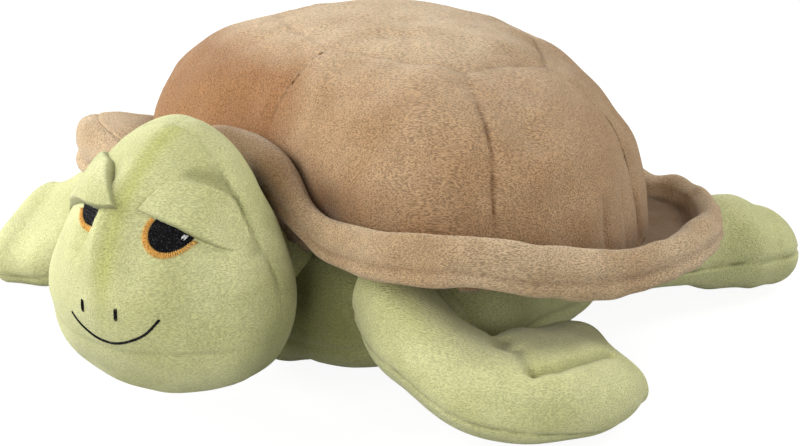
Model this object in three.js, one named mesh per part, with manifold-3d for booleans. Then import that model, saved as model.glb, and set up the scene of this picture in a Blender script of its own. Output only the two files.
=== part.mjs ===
import * as THREE from 'three';
import { mergeVertices } from 'three/addons/utils/BufferGeometryUtils.js';
import Module from 'manifold-3d';

// A plush sea turtle that lies on its belly. It is sewn from short-pile cloth
// over loose filling: a flat-bottomed torso, a domed shell of seven panels with
// a padded rim, a head on a short neck and four flippers. Lengths are in
// millimetres. X points to the turtle's left, Y to its tail and Z up, and the
// origin lies under the middle of the belly. An angle round the body starts at
// the front and turns to the turtle's left.

const wasm = await Module();
wasm.setup();

// Cloth, filling and the clearances between them
const clothThickness = 2;
const layerGap = 0.4;
const mergeReach = 0.004;
const seamGap = 0.5;
const socketGap = 0.9;
const neckSocketGap = 0.7;
const floorPress = 0.5;
const bodyCentreY = 1;

// Shell: a blunt-fronted dome that tilts nose up
const shellHalfWidth = 106;
const shellFrontReach = 74;
const shellRearReach = 98;
const shellTop = 133;
const shellWaist = 52;
const shellSkirt = 18;
const shellFrontFullness = 3.6;
const shellRearFullness = 1.85;
const shellCrownFullness = 2.55;
const shellTiltShare = 0.11;

// Crown panel: a hexagon that points to the front and the rear
const crownFrontTip = 40;
const crownSideX = 58;
const crownFrontCornerY = 18;
const crownRearCornerY = 28;
const crownRearTip = 60;

// Rim: a padded flange whose edge turns up, raised at the front over the neck
const rimHalfWidth = 126;
const rimFrontReach = 84;
const rimRearReach = 136;
const rimFrontFullness = 3.6;
const rimRearFullness = 2;
const rimFrontLip = 100;
const rimFlare = 19;
const rimFlareTurn = -62;
const rimFlarePower = 6;
const rimDrop = 9;
const rimDropTurn = -80;
const rimFloor = 7;
const rimLip = 8;
const rimSeamShare = 0.42;
const rimCornerRise = 1.2;
const rimRootGap = 0.8;
const waddingGap = 1.1;
const rimFootInset = 7;
const rimRootLift = 2;
const rimUnderSteps = 2;
const sharpestTurn = 0.5;
const lipHeightShares = [
  1, 0.975, 0.8, 0.81, 0.84, 0.76, 0.68, 0.64, 0.6, 0.565, 0.53, 0.5, 0.48,
];
const footHeightShares = [
  0.82, 0.76, 0.63, 0.61, 0.63, 0.57, 0.51, 0.49, 0.475, 0.445, 0.41, 0.37, 0.345,
];

// Seat of the shell on the torso: a low arch that opens over the neck
const seatMiddle = 51;
const seatArchPower = 0.75;
const seatShares = [1.6, 1, 0.8, 0.55, 0.25];
const seatMeetShare = 0.02;
const seatSteps = 100;

// Torso: a pillow, flat where it rests
const torsoHalfWidth = 70;
const torsoFrontReach = 83;
const torsoRearReach = 94;
const torsoHalfHeight = 34;
const torsoPlanFullness = 2.4;
const torsoTopFullness = 2.4;
const torsoBellyFullness = 3;
const torsoRowPower = 0.6;
const torsoSeamHeight = 22;

// Neck: a stuffed ball, half in the torso and half in the head
const neckCentre = new THREE.Vector3(0, -68, 46);
const neckRadius = 26;
const neckOpening = 14;

// Head: an egg, wider at the jaw, turned to the turtle's left
const headCentre = new THREE.Vector3(4.6, -112.5, 62);
const headYaw = 22;
const headRoll = 5;
const headPitch = 3;
const headHalfWidth = 45;
const headFrontReach = 55;
const headRearReach = 30;
const headHalfHeight = 53;
const headFullness = 1.9;
const headTaperShare = 0.36;
const headPanels = 5;
const headEarSeamY = -6;
const chinSeamHeight = -19;

// Eyelids: half-moon patches sewn over the eyes, either side of the middle of
// the face. Shares of the head's half width and half height.
const faceMiddle = 2;
const eyelidLift = 0.4;
const eyelidOutlineShares = [
  [0.115, 0.7], [0.135, 0.76], [0.225, 0.78], [0.315, 0.765], [0.405, 0.72], [0.515, 0.63], [0.585, 0.55],
  [0.665, 0.47], [0.735, 0.38], [0.795, 0.275], [0.735, 0.31], [0.685, 0.34], [0.615, 0.385],
  [0.535, 0.425], [0.405, 0.51], [0.225, 0.595],
];

// Embroidery: eyes, nostrils and mouth stand a little proud of the cloth
const threadLift = 0.3;
const threadHeight = 0.8;
const eyeSpacing = 17.2;
const eyeHeight = 27;
const eyeSlant = -31.5;
const irisHalfChord = 9;
const irisDepth = 7.8;
const irisBand = 2;
const pupilGap = 0.3;
const glintRadius = 1.1;
const glintAlong = 2.6;
const glintDepth = 2;
const nostrilMiddle = 1;
const nostrilSpacing = 7;
const nostrilHeight = -2.5;
const nostrilHalfWidth = 0.9;
const nostrilHalfLength = 2.8;
const mouthMiddle = 4.5;
const mouthHalfWidth = 18;
const mouthDrop = 16;
const mouthCornerRise = 11;
const mouthStroke = 1.4;
const mouthTaperPower = 8;

// Flippers: flat pillows whose roots are rounded about their hinge lines. The
// stations run from the hinge to the tip.
const frontHinge = new THREE.Vector3(64, -48, 34);
const frontHingeTurn = -12;
const frontTipReach = 14;
const frontReach = 110;
const leftFrontPathShares = [[0, 0], [0.16, -0.05], [0.36, 0.03], [0.43, 0.26], [0.4, 0.48]];
const rightFrontPathShares = [[0, 0], [0.23, -0.04], [0.48, -0.1], [0.7, -0.18], [0.87, -0.26]];
const frontHalfWidth = 32;
const frontWidthShares = [0.72, 0.72, 0.8, 0.98, 0.88];
const frontHalfDepth = 17.5;
const frontDepthShares = [1, 1, 1, 1, 0.85];
const leftFrontRestShares = [1, 0.86, 0.62, 0.55, 0.5];
const rightFrontRestShares = [1, 0.94, 0.82, 0.7, 0.57];
const rightFrontLeans = [0, 8, 24, 32, 30];
const level = [0, 0, 0, 0, 0];

const rearHinge = new THREE.Vector3(46, 88, 20);
const rearHingeTurn = 76;
const rearTipReach = 16;
const rearReach = 85;
const rearPathShares = [[0, 0], [0.02, 0.2], [0.05, 0.42], [0.1, 0.62], [0.15, 0.77]];
const rearHalfWidth = 22;
const rearWidthShares = [0.9, 0.95, 1, 1, 0.84];
const rearHalfDepth = 17;
const rearDepthShares = [0.82, 0.88, 1.05, 1.05, 0.9];
const rearRestShares = [1, 1, 0.98, 0.95, 0.88];
const flipperFullness = 2.3;

// Finenesses of the surfaces
const bodyColumns = 30;
const domeRows = 7;
const torsoColumns = 22;
const torsoRows = 8;
const headColumns = 16;
const headRows = 10;
const neckColumns = 20;
const neckRows = 10;
const flipperPoints = 10;
const flipperStations = 6;
const tipRows = 2;
const capRows = 2;
const socketRows = 6;
const outlinePoints = 12;
const mouthPoints = 14;
const overrun = 20;

// Materials
const cloth = (color, roughness) => new THREE.MeshStandardMaterial({ color, roughness, metalness: 0 });
const greenPlush = cloth('#cdd19a', 0.9);
const brownPlush = cloth('#c9a588', 0.9);
const filling = cloth('#f1efe8', 1);
const orangeThread = cloth('#dc8a24', 0.5);
const blackThread = cloth('#17161a', 0.45);
const whiteThread = cloth('#f7f6f2', 0.5);

const turtle = new THREE.Group();
const headGroup = new THREE.Group();
headGroup.position.copy(headCentre);
headGroup.rotation.set(...[headPitch, headRoll, headYaw].map(THREE.MathUtils.degToRad), 'ZXY');
headGroup.updateMatrix();
turtle.add(headGroup);

function addMesh(group, name, solid, material) {
  const mesh = new THREE.Mesh(toGeometry(solid), material);
  mesh.name = name;
  group.add(mesh);
}

// Solids from surfaces: the vertices that coincide are merged and the faces
// that collapse are left out.
function toSolid(geometry) {
  const bare = new THREE.BufferGeometry();
  bare.setAttribute('position', geometry.getAttribute('position'));
  bare.setIndex(geometry.getIndex());
  const merged = mergeVertices(bare, mergeReach);
  const index = merged.getIndex().array;
  const kept = [];
  for (let i = 0; i < index.length; i += 3) {
    const [a, b, c] = [index[i], index[i + 1], index[i + 2]];
    if (a !== b && b !== c && c !== a) kept.push(a, b, c);
  }
  const vertProperties = new Float32Array(merged.getAttribute('position').array);
  const build = (corners) => new wasm.Manifold(new wasm.Mesh({
    numProp: 3, vertProperties, triVerts: new Uint32Array(corners),
  }));
  const solid = build(kept);
  if (solid.volume() > 0) return solid;
  const turned = [];
  for (let i = 0; i < kept.length; i += 3) turned.push(kept[i], kept[i + 2], kept[i + 1]);
  return build(turned);
}

function toGeometry(solid) {
  const mesh = solid.getMesh();
  const geometry = new THREE.BufferGeometry();
  geometry.setAttribute('position', new THREE.BufferAttribute(new Float32Array(mesh.vertProperties), 3));
  geometry.setIndex(new THREE.BufferAttribute(new Uint32Array(mesh.triVerts), 1));
  geometry.computeVertexNormals();
  return geometry;
}

// A closed body through rings of points. Its ends are capped, or joined where
// the rings run in a loop.
function ringSolid(rings, looped = false) {
  const points = rings.flat();
  const count = rings[0].length;
  const index = [];
  const quad = (a, b, c, d) => index.push(a, b, c, a, c, d);
  const spans = looped ? rings.length : rings.length - 1;
  for (let i = 0; i < spans; i += 1) {
    const next = (i + 1) % rings.length;
    for (let j = 0; j < count; j += 1) {
      const side = (j + 1) % count;
      quad(i * count + j, i * count + side, next * count + side, next * count + j);
    }
  }
  if (!looped) {
    const centre = (ring) => ring.reduce((sum, p) => sum.add(p), new THREE.Vector3())
      .divideScalar(count);
    const last = (rings.length - 1) * count;
    points.push(centre(rings[0]), centre(rings.at(-1)));
    for (let j = 0; j < count; j += 1) {
      const side = (j + 1) % count;
      index.push(points.length - 2, side, j, points.length - 1, last + j, last + side);
    }
  }
  const geometry = new THREE.BufferGeometry().setFromPoints(points);
  geometry.setIndex(index);
  return toSolid(geometry);
}

const signedPower = (value, power) => Math.sign(value) * Math.abs(value) ** power;
const steps = (count, from, to) => Array.from(
  { length: count + 1 }, (_, i) => from + ((to - from) * i) / count,
);
const turnAngles = (count) => steps(count, 0, 2 * Math.PI).slice(0, -1);

// Radius of an oval in plan at an angle round the body, with a fullness of its
// own for the front half and the rear half
function planRadius(angle, halfWidth, reachAhead, reachBehind, frontFullness, rearFullness) {
  const ahead = Math.cos(angle) > 0;
  const reach = ahead ? reachAhead : reachBehind;
  const fullness = ahead ? frontFullness : rearFullness;
  const along = (Math.abs(Math.cos(angle)) / reach) ** fullness;
  return (along + (Math.abs(Math.sin(angle)) / halfWidth) ** fullness) ** (-1 / fullness);
}

const bodyPoint = (angle, radius, height) => new THREE.Vector3(
  radius * Math.sin(angle), bodyCentreY - radius * Math.cos(angle), height,
);

// A value between the entries of a table that runs from the front to the rear
function roundBody(table, angle) {
  const turned = Math.abs(Math.atan2(Math.sin(angle), Math.cos(angle)));
  const place = (turned / Math.PI) * (table.length - 1);
  const start = Math.min(Math.floor(place), table.length - 2);
  const part = place - start;
  const at = (i) => table[i < 0 ? -i : i >= table.length ? 2 * table.length - 2 - i : i];
  const [a, b, c, d] = [at(start - 1), at(start), at(start + 1), at(start + 2)];
  const bend = (3 * (b - c) + d - a) * part + 2 * a - 5 * b + 4 * c - d;
  return b + ((c - a + bend * part) * part) / 2;
}

// The rim's right front corner is pulled outward, and the rim hangs lower
// behind it
function bulge(angle, turn) {
  return Math.max(Math.cos(angle - THREE.MathUtils.degToRad(turn)), 0) ** rimFlarePower;
}
const rimHeight = (shares, angle) => (
  rimFrontLip * roundBody(shares, angle) - rimDrop * bulge(angle, rimDropTurn)
);
const lipHeight = (angle) => rimHeight(lipHeightShares, angle);
const footHeight = (angle) => rimHeight(footHeightShares, angle);
const rootHeight = (angle) => footHeight(angle) + rimRootLift;

// Shell dome
const shellRadius = (angle, inset) => planRadius(
  angle, shellHalfWidth - inset, shellFrontReach - inset, shellRearReach - inset,
  shellFrontFullness, shellRearFullness,
);

function shellForm(inset) {
  const rows = steps(domeRows, 0, Math.PI / 2).map((lean) => {
    const spread = Math.sin(lean) ** (2 / shellCrownFullness);
    const rise = Math.max(Math.cos(lean), 0) ** (2 / shellCrownFullness);
    return turnAngles(bodyColumns).map((angle) => {
      const radius = shellRadius(angle, inset);
      const tilt = shellTiltShare * radius * Math.cos(angle) * spread ** 2;
      const height = shellWaist + (shellTop - inset - shellWaist) * rise + tilt;
      return bodyPoint(angle, radius * spread, height);
    });
  });
  const skirt = rows.at(-1).map((p) => p.clone().setZ(p.z - shellSkirt - inset));
  return ringSolid([...rows, skirt]);
}

// Radius of the dome's wall at a height
function shellWallRadius(angle, height) {
  const radius = shellRadius(angle, 0);
  const waist = shellWaist + shellTiltShare * radius * Math.cos(angle);
  const share = Math.max((height - waist) / (shellTop - waist), 0);
  return radius * (1 - share ** shellCrownFullness) ** (1 / shellCrownFullness);
}

// The seat: above it lies the shell's filling, below it the torso
function seatHeight(angle, share) {
  return seatMiddle + (rootHeight(angle) - seatMiddle) * Math.min(share, 1) ** seatArchPower;
}

function seatBlock(lift, farHeight) {
  const ring = (share, height) => turnAngles(bodyColumns).map((angle) => bodyPoint(
    angle, shellRadius(angle, 0) * share, height ?? seatHeight(angle, share) + lift,
  ));
  return ringSolid([ring(seatShares[0], farHeight), ...seatShares.map((share) => ring(share))]);
}

// Seams of the shell: thin upright sheets that part the dome's cloth
function sheet(from, to, low, high, thickness = seamGap) {
  const run = new THREE.Vector2().subVectors(to, from);
  const box = new THREE.BoxGeometry(run.length(), thickness, high - low);
  box.rotateZ(run.angle());
  box.translate((from.x + to.x) / 2, (from.y + to.y) / 2, (low + high) / 2);
  return toSolid(box);
}

const crownCorners = [
  [0, -crownFrontTip], [crownSideX, -crownFrontCornerY], [crownSideX, crownRearCornerY],
  [0, crownRearTip], [-crownSideX, crownRearCornerY], [-crownSideX, -crownFrontCornerY],
].map(([x, y]) => new THREE.Vector2(x, y));

function shellSeams() {
  const top = shellTop + overrun;
  const sheets = [];
  crownCorners.forEach((corner, i) => {
    sheets.push(sheet(corner, crownCorners[(i + 1) % crownCorners.length], shellWaist, top));
    const outward = corner.clone().setLength(rimRearReach);
    sheets.push(sheet(corner.clone(), outward, 0, top));
  });
  return sheets.reduce((all, one) => all.add(one));
}

// The pieces that a cut leaves, the largest first, without its slivers
const cutPieces = (solid, count) => solid.decompose()
  .sort((a, b) => b.volume() - a.volume()).slice(0, count);

const crownMiddle = (point) => Math.hypot(point.x, point.y) < crownSideX / 2;
const middleOf = (solid) => {
  const { vertProperties } = solid.getMesh();
  const sum = new THREE.Vector3();
  for (let i = 0; i < vertProperties.length; i += 3) {
    sum.add(new THREE.Vector3(vertProperties[i], vertProperties[i + 1], vertProperties[i + 2]));
  }
  return sum.divideScalar(vertProperties.length / 3);
};

function shell() {
  const above = seatBlock(0, shellTop + overrun);
  const wall = shellForm(0).subtract(shellForm(clothThickness)).intersect(above);
  const sides = ['front', 'side', 'rear'];
  for (const panel of cutPieces(wall.subtract(shellSeams()), crownCorners.length + 1)) {
    const middle = middleOf(panel);
    const place = middle.y < -crownFrontCornerY ? 0 : middle.y < crownRearCornerY ? 1 : 2;
    const hand = middle.x > 0 ? 'left' : 'right';
    const name = crownMiddle(middle) ? 'shell_crown_panel' : `shell_${hand}_${sides[place]}_panel`;
    addMesh(turtle, name, panel, brownPlush);
  }
  const stuffing = shellForm(clothThickness + layerGap).intersect(seatBlock(0, shellTop + overrun));
  addMesh(turtle, 'shell_stuffing', stuffing, filling);
}

// Torso
const torsoRadius = (angle, inset) => planRadius(
  angle, torsoHalfWidth - inset, torsoFrontReach - inset, torsoRearReach - inset,
  torsoPlanFullness, torsoPlanFullness,
);
const torsoMiddle = torsoHalfHeight - floorPress;

function torsoForm(inset) {
  return ringSolid(steps(torsoRows, -1, 1).map((share) => {
    const lift = (Math.PI / 2) * signedPower(share, torsoRowPower);
    const power = 2 / (share < 0 ? torsoBellyFullness : torsoTopFullness);
    const spread = Math.max(Math.cos(lift), 0) ** power;
    const height = torsoMiddle + (torsoHalfHeight - inset) * signedPower(Math.sin(lift), power);
    return turnAngles(torsoColumns).map(
      (angle) => bodyPoint(angle, torsoRadius(angle, inset) * spread, height),
    );
  }));
}

// Share of the shell's radius at which the torso's top meets the seat
function torsoMeetsSeat(angle) {
  const meets = (share) => {
    const part = Math.min((share * shellRadius(angle, 0)) / torsoRadius(angle, 0), 1);
    const top = torsoHalfHeight * (1 - part ** torsoTopFullness) ** (1 / torsoTopFullness);
    return torsoMiddle + top > seatHeight(angle, share) - clothThickness - 2 * layerGap;
  };
  return steps(seatSteps, 1, 0).find((share) => meets(share)) ?? 0;
}

function ballSolid(centre, radius, columns, rows) {
  return ringSolid(steps(rows, -Math.PI / 2, Math.PI / 2).map((lift) => turnAngles(columns).map(
    (angle) => new THREE.Vector3(
      Math.cos(lift) * Math.cos(angle), Math.sin(lift), Math.cos(lift) * Math.sin(angle),
    ).multiplyScalar(radius).add(centre),
  )));
}

const boxSolid = (low, high) => {
  const size = new THREE.Vector3().subVectors(high, low);
  const middle = new THREE.Vector3().addVectors(low, high).divideScalar(2);
  return toSolid(new THREE.BoxGeometry(size.x, size.y, size.z).translate(middle.x, middle.y, middle.z));
};
const floorBlock = () => boxSolid(
  new THREE.Vector3(-2 * rimHalfWidth, -2 * rimHalfWidth, -shellTop),
  new THREE.Vector3(2 * rimHalfWidth, 2 * rimHalfWidth, 0),
);

// A flipper's course: stations from the hinge to the tip, each with its
// direction in plan, its half width and its half depth
function flipperCourse({ hinge, turn, hand, reach, path, widths, width, depths, depth, rests, leans }) {
  const turned = THREE.MathUtils.degToRad(turn);
  const outward = new THREE.Vector3(hand * Math.cos(turned), Math.sin(turned), 0);
  const root = new THREE.Vector3(hand * hinge.x, hinge.y, hinge.z);
  const points = path.map(([x, y], i) => new THREE.Vector3(
    root.x + hand * x * reach, root.y + y * reach, root.z * rests[i],
  ));
  const curve = new THREE.CatmullRomCurve3(points, false, 'centripetal');
  const between = (table, share) => {
    const place = share * (table.length - 1);
    const start = Math.min(Math.floor(place), table.length - 2);
    const ease = THREE.MathUtils.smoothstep(place - start, 0, 1);
    return table[start] + (table[start + 1] - table[start]) * ease;
  };
  const stations = steps(flipperStations, 0, 1).map((share) => {
    const heading = curve.getTangent(share).setZ(0).normalize();
    if (share === 0) heading.copy(outward);
    return {
      centre: curve.getPoint(share), heading,
      width: width * between(widths, share), depth: depth * between(depths, share),
      lean: hand * THREE.MathUtils.degToRad(between(leans, share)),
    };
  });
  return { root, outward, stations };
}

const flatSide = (heading) => new THREE.Vector3(-heading.y, heading.x, 0);

// A point of a station at a distance along its flat side and one across it
function stationPoint({ centre, heading, lean }, along, across) {
  return centre.clone()
    .addScaledVector(flatSide(heading), along * Math.cos(lean) - across * Math.sin(lean))
    .add(new THREE.Vector3(0, 0, along * Math.sin(lean) + across * Math.cos(lean)));
}

function flipperRing(station, inset) {
  return turnAngles(flipperPoints).map((angle) => stationPoint(
    station,
    (station.width - inset) * signedPower(Math.cos(angle), 2 / flipperFullness),
    (station.depth - inset) * signedPower(Math.sin(angle), 2 / flipperFullness),
  ));
}

// The root is round about the hinge line, so it turns in its socket
function rootRings(course, inset, angles) {
  const first = course.stations[0];
  return angles.map((swing) => flipperRing(first, inset).map((point) => {
    const height = point.z - first.centre.z;
    const flat = point.clone().setZ(first.centre.z);
    return flat.addScaledVector(course.outward, -Math.abs(height) * Math.sin(swing))
      .setZ(first.centre.z + height * Math.cos(swing));
  }));
}

function flipperForm(course, tipReach, inset) {
  const last = course.stations.at(-1);
  const tip = steps(tipRows, 0, Math.PI / 2).slice(1).map((lean) => flipperRing({
    centre: last.centre.clone().addScaledVector(last.heading, (tipReach - inset) * Math.sin(lean)),
    heading: last.heading,
    lean: last.lean,
    width: inset + (last.width - inset) * Math.max(Math.cos(lean), 0) ** (2 / flipperFullness),
    depth: inset + (last.depth - inset) * Math.max(Math.cos(lean), 0) ** (2 / flipperFullness),
  }, inset));
  const cap = rootRings(course, inset, steps(capRows, Math.PI / 2, 0).slice(0, -1));
  return ringSolid([...cap, ...course.stations.map((s) => flipperRing(s, inset)), ...tip]);
}

// The socket that the torso leaves for a flipper's root
function rootSocket(course) {
  const first = course.stations[0];
  const wide = { ...first, width: first.width + socketGap, depth: first.depth + socketGap };
  const grown = { ...course, stations: [wide] };
  return ringSolid(rootRings(grown, 0, steps(socketRows, Math.PI / 2, -Math.PI / 2)));
}

// A thin level sheet along the flipper's edge parts its upper and lower panels
function edgeSheet(course, tipReach) {
  const first = course.stations[0];
  const last = course.stations.at(-1);
  const ends = [
    { ...first, centre: first.centre.clone().addScaledVector(course.outward, -first.depth - overrun) },
    ...course.stations,
    { ...last, centre: last.centre.clone().addScaledVector(last.heading, tipReach + overrun) },
  ];
  return ringSolid(ends.map((station) => [[1, 1], [-1, 1], [-1, -1], [1, -1]].map(
    ([side, up]) => stationPoint(station, side * (station.width + seamGap), (up * seamGap) / 2),
  )));
}

function flipper(name, course, tipReach) {
  const skin = flipperForm(course, tipReach, 0).subtract(flipperForm(course, tipReach, clothThickness));
  const panels = cutPieces(skin.subtract(edgeSheet(course, tipReach)).subtract(floorBlock()), 2)
    .sort((a, b) => middleOf(b).z - middleOf(a).z);
  addMesh(turtle, `${name}_upper_panel`, panels[0], greenPlush);
  addMesh(turtle, `${name}_lower_panel`, panels[1], greenPlush);
  const stuffing = flipperForm(course, tipReach, clothThickness + layerGap);
  addMesh(turtle, `${name}_stuffing`, stuffing, filling);
}

const frontFlipper = (hand, path, rests, leans) => flipperCourse({
  hinge: frontHinge, turn: frontHingeTurn, hand, reach: frontReach, path, rests, leans,
  widths: frontWidthShares, width: frontHalfWidth, depths: frontDepthShares, depth: frontHalfDepth,
});
const rearFlipper = (hand) => flipperCourse({
  hinge: rearHinge, turn: rearHingeTurn, hand, reach: rearReach, path: rearPathShares,
  rests: rearRestShares, leans: level,
  widths: rearWidthShares, width: rearHalfWidth, depths: rearDepthShares, depth: rearHalfDepth,
});
const leftFront = frontFlipper(1, leftFrontPathShares, leftFrontRestShares, level);
const rightFront = frontFlipper(-1, rightFrontPathShares, rightFrontRestShares, rightFrontLeans);
const flippers = [
  ['left_front_flipper', leftFront, frontTipReach],
  ['right_front_flipper', rightFront, frontTipReach],
  ['left_rear_flipper', rearFlipper(1), rearTipReach],
  ['right_rear_flipper', rearFlipper(-1), rearTipReach],
];

function torso() {
  const below = seatBlock(-layerGap, -shellTop);
  const neckSocket = ballSolid(neckCentre, neckRadius + neckSocketGap, neckColumns, neckRows);
  const sockets = flippers.map(([, course]) => rootSocket(course))
    .reduce((all, one) => all.add(one), neckSocket);
  const wide = 2 * rimHalfWidth;
  const seam = boxSolid(
    new THREE.Vector3(-wide, -wide, torsoSeamHeight - seamGap / 2),
    new THREE.Vector3(wide, wide, torsoSeamHeight + seamGap / 2),
  );
  const skin = torsoForm(0).subtract(torsoForm(clothThickness)).subtract(floorBlock());
  const panels = cutPieces(skin.intersect(below).subtract(sockets).subtract(seam), 2)
    .sort((a, b) => middleOf(a).z - middleOf(b).z);
  addMesh(turtle, 'belly_panel', panels[0], greenPlush);
  addMesh(turtle, 'torso_side_panel', panels[1], greenPlush);
  const stuffing = torsoForm(clothThickness + layerGap).intersect(below).subtract(sockets);
  addMesh(turtle, 'torso_stuffing', stuffing, filling);
}

// Rim: its section at an angle is a pair of cloth layers with wadding between
// them. A line is thickened to its right-hand side.
function offsetLine(line, distance) {
  return line.map((point, i) => {
    const before = line[Math.max(i - 1, 0)];
    const after = line[Math.min(i + 1, line.length - 1)];
    const headings = [[before, point], [point, after]].filter(([a, b]) => a !== b)
      .map(([a, b]) => new THREE.Vector2().subVectors(b, a).normalize());
    const sum = headings.reduce((all, one) => all.clone().add(one)).normalize();
    const stretch = 1 / Math.max(sum.dot(headings[0]), sharpestTurn);
    return new THREE.Vector2(sum.y, -sum.x).multiplyScalar(distance * stretch).add(point);
  });
}

const rimRadius = (angle) => rimFlare * bulge(angle, rimFlareTurn)
  + planRadius(angle, rimHalfWidth, rimFrontReach, rimRearReach, rimFrontFullness, rimRearFullness);

function rimSection(angle) {
  const outer = rimRadius(angle);
  const [lip, foot, root] = [lipHeight(angle), footHeight(angle), rootHeight(angle)];
  const inner = shellWallRadius(angle, root) + rimRootGap;
  const lipInside = outer - rimLip;
  const gutter = inner + (lipInside - inner) / 2;
  const seam = foot + rimSeamShare * (lip - foot);
  const upper = [
    [inner, root + rimFloor], [gutter, root + rimFloor], [lipInside, (root + rimFloor + lip) / 2],
    [outer - rimLip / 2, lip], [outer, lip - rimLip / 2], [outer, seam],
  ].map(([r, z]) => new THREE.Vector2(r, z));
  const radius = shellRadius(angle, 0);
  const drop = 2 * layerGap + clothThickness;
  const under = steps(rimUnderSteps, inner / radius, torsoMeetsSeat(angle) + seatMeetShare).map(
    (share) => new THREE.Vector2(share * radius, seatHeight(angle, share) - drop),
  );
  const edge = [
    new THREE.Vector2(outer, seam - seamGap), new THREE.Vector2(outer, foot + rimCornerRise),
    new THREE.Vector2(outer - rimFootInset, foot),
  ];
  return { upper, lower: [...edge, ...under], padded: [...edge, new THREE.Vector2(inner, foot)] };
}

const closeStrip = (line, distance) => [...line, ...offsetLine(line, distance).reverse()];

function rim() {
  const ring = (angle, line) => line.map((point) => bodyPoint(angle, point.x, point.y));
  const loop = (sectionAt) => ringSolid(
    turnAngles(bodyColumns).map((angle) => ring(angle, sectionAt(rimSection(angle)))), true,
  );
  const upper = loop(({ upper: line }) => closeStrip(line, clothThickness));
  const lower = loop(({ lower: line }) => closeStrip(line, clothThickness));
  const deep = clothThickness + waddingGap;
  const wadding = loop(
    ({ upper: top, padded }) => [...offsetLine(top, deep), ...offsetLine(padded, deep)],
  );
  addMesh(turtle, 'rim_upper_panel', upper, brownPlush);
  addMesh(turtle, 'rim_lower_panel', lower, brownPlush);
  addMesh(turtle, 'rim_wadding', wadding, filling);
}

// Neck: a cloth band round a ball of filling
function neck() {
  const ball = (inset) => ballSolid(neckCentre, neckRadius - inset, neckColumns, neckRows);
  const wide = 2 * neckRadius;
  const slab = boxSolid(
    neckCentre.clone().add(new THREE.Vector3(-wide, -neckOpening, -wide)),
    neckCentre.clone().add(new THREE.Vector3(wide, neckOpening, wide)),
  );
  addMesh(turtle, 'neck_band', ball(0).subtract(ball(clothThickness)).intersect(slab), greenPlush);
  addMesh(turtle, 'neck_stuffing', ball(clothThickness + layerGap), filling);
}

// Head
function headForm(inset) {
  const power = 2 / headFullness;
  return ringSolid(steps(headRows, -Math.PI / 2, Math.PI / 2).map((lift) => {
    const rise = signedPower(Math.sin(lift), power);
    const spread = Math.max(Math.cos(lift), 0) ** power;
    return turnAngles(headColumns).map((turn) => {
      const ahead = Math.cos(turn) > 0;
      const reach = (ahead ? headFrontReach : headRearReach) - inset;
      const width = (headHalfWidth - inset) * (1 - headTaperShare * rise);
      return new THREE.Vector3(
        width * spread * signedPower(Math.sin(turn), power),
        -reach * spread * signedPower(Math.cos(turn), power),
        (headHalfHeight - inset) * rise,
      );
    });
  }));
}

const headLocal = (point) => point.clone().applyMatrix4(headGroup.matrix.clone().invert());

// A patch of thread or cloth that lies on the face, cut to an outline seen
// from the front
function facePrism(outline) {
  const shape = new THREE.Shape(outline.map(([x, z]) => new THREE.Vector2(x, z)));
  const prism = new THREE.ExtrudeGeometry(shape, { depth: 2 * headFrontReach, bevelEnabled: false });
  return toSolid(prism.rotateX(Math.PI / 2));
}

const faceLayer = (lift, thickness) => headForm(-lift - thickness).subtract(headForm(-lift));

// The points of a half disc that hangs from a slanted chord, just under the
// eyelid's edge, or of one that also reaches above its chord
function eyeOutline(hand, halfChord, depth, above = 0) {
  const slant = THREE.MathUtils.degToRad(eyeSlant);
  const place = (along, up) => [
    faceMiddle + hand * (eyeSpacing + along * Math.cos(slant) - (up - seamGap) * Math.sin(slant)),
    eyeHeight + along * Math.sin(slant) + (up - seamGap) * Math.cos(slant),
  ];
  const hanging = steps(outlinePoints, 0, -Math.PI).map(
    (turn) => place(halfChord * Math.cos(turn), depth * Math.sin(turn)),
  );
  return above ? [...hanging, place(-halfChord, above), place(halfChord, above)] : hanging;
}

const discOutline = (x, z, halfWidth, halfHeight) => turnAngles(outlinePoints).map(
  (turn) => [x + halfWidth * Math.cos(turn), z + halfHeight * Math.sin(turn)],
);

function eyes(hand, side) {
  const eyelidOutline = eyelidOutlineShares.map(
    ([x, z]) => [faceMiddle + hand * x * headHalfWidth, z * headHalfHeight],
  );
  const eyelid = faceLayer(eyelidLift, clothThickness).intersect(facePrism(eyelidOutline));
  addMesh(headGroup, `${side}_eyelid`, eyelid, greenPlush);
  const thread = faceLayer(threadLift, threadHeight);
  const slant = THREE.MathUtils.degToRad(eyeSlant);
  const glintX = faceMiddle
    + hand * (eyeSpacing + glintAlong * Math.cos(slant) + glintDepth * Math.sin(slant));
  const glintZ = eyeHeight + glintAlong * Math.sin(slant) - glintDepth * Math.cos(slant);
  const glint = (radius) => facePrism(discOutline(glintX, glintZ, radius, radius));
  const halfDisc = (band, above) => facePrism(
    eyeOutline(hand, irisHalfChord - band, irisDepth - band, above),
  );
  const iris = thread.intersect(halfDisc(0).subtract(halfDisc(irisBand, irisBand)));
  const pupil = thread.intersect(halfDisc(irisBand + pupilGap).subtract(glint(glintRadius + pupilGap)));
  const nostril = discOutline(
    nostrilMiddle + hand * nostrilSpacing, nostrilHeight, nostrilHalfWidth, nostrilHalfLength,
  );
  addMesh(headGroup, `${side}_iris`, iris, orangeThread);
  addMesh(headGroup, `${side}_pupil`, pupil, blackThread);
  addMesh(headGroup, `${side}_eye_glint`, thread.intersect(glint(glintRadius)), whiteThread);
  addMesh(headGroup, `${side}_nostril`, thread.intersect(facePrism(nostril)), blackThread);
}

// The mouth is a stroke along a shallow arc
function mouthOutline() {
  const across = steps(mouthPoints, -1, 1);
  const edge = (offset) => across.map((share) => [
    mouthMiddle + share * mouthHalfWidth,
    mouthCornerRise * share ** 2 - mouthDrop + offset * (1 - share ** mouthTaperPower),
  ]);
  return [...edge(-mouthStroke / 2), ...edge(mouthStroke / 2).reverse().slice(1, -1)];
}

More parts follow.
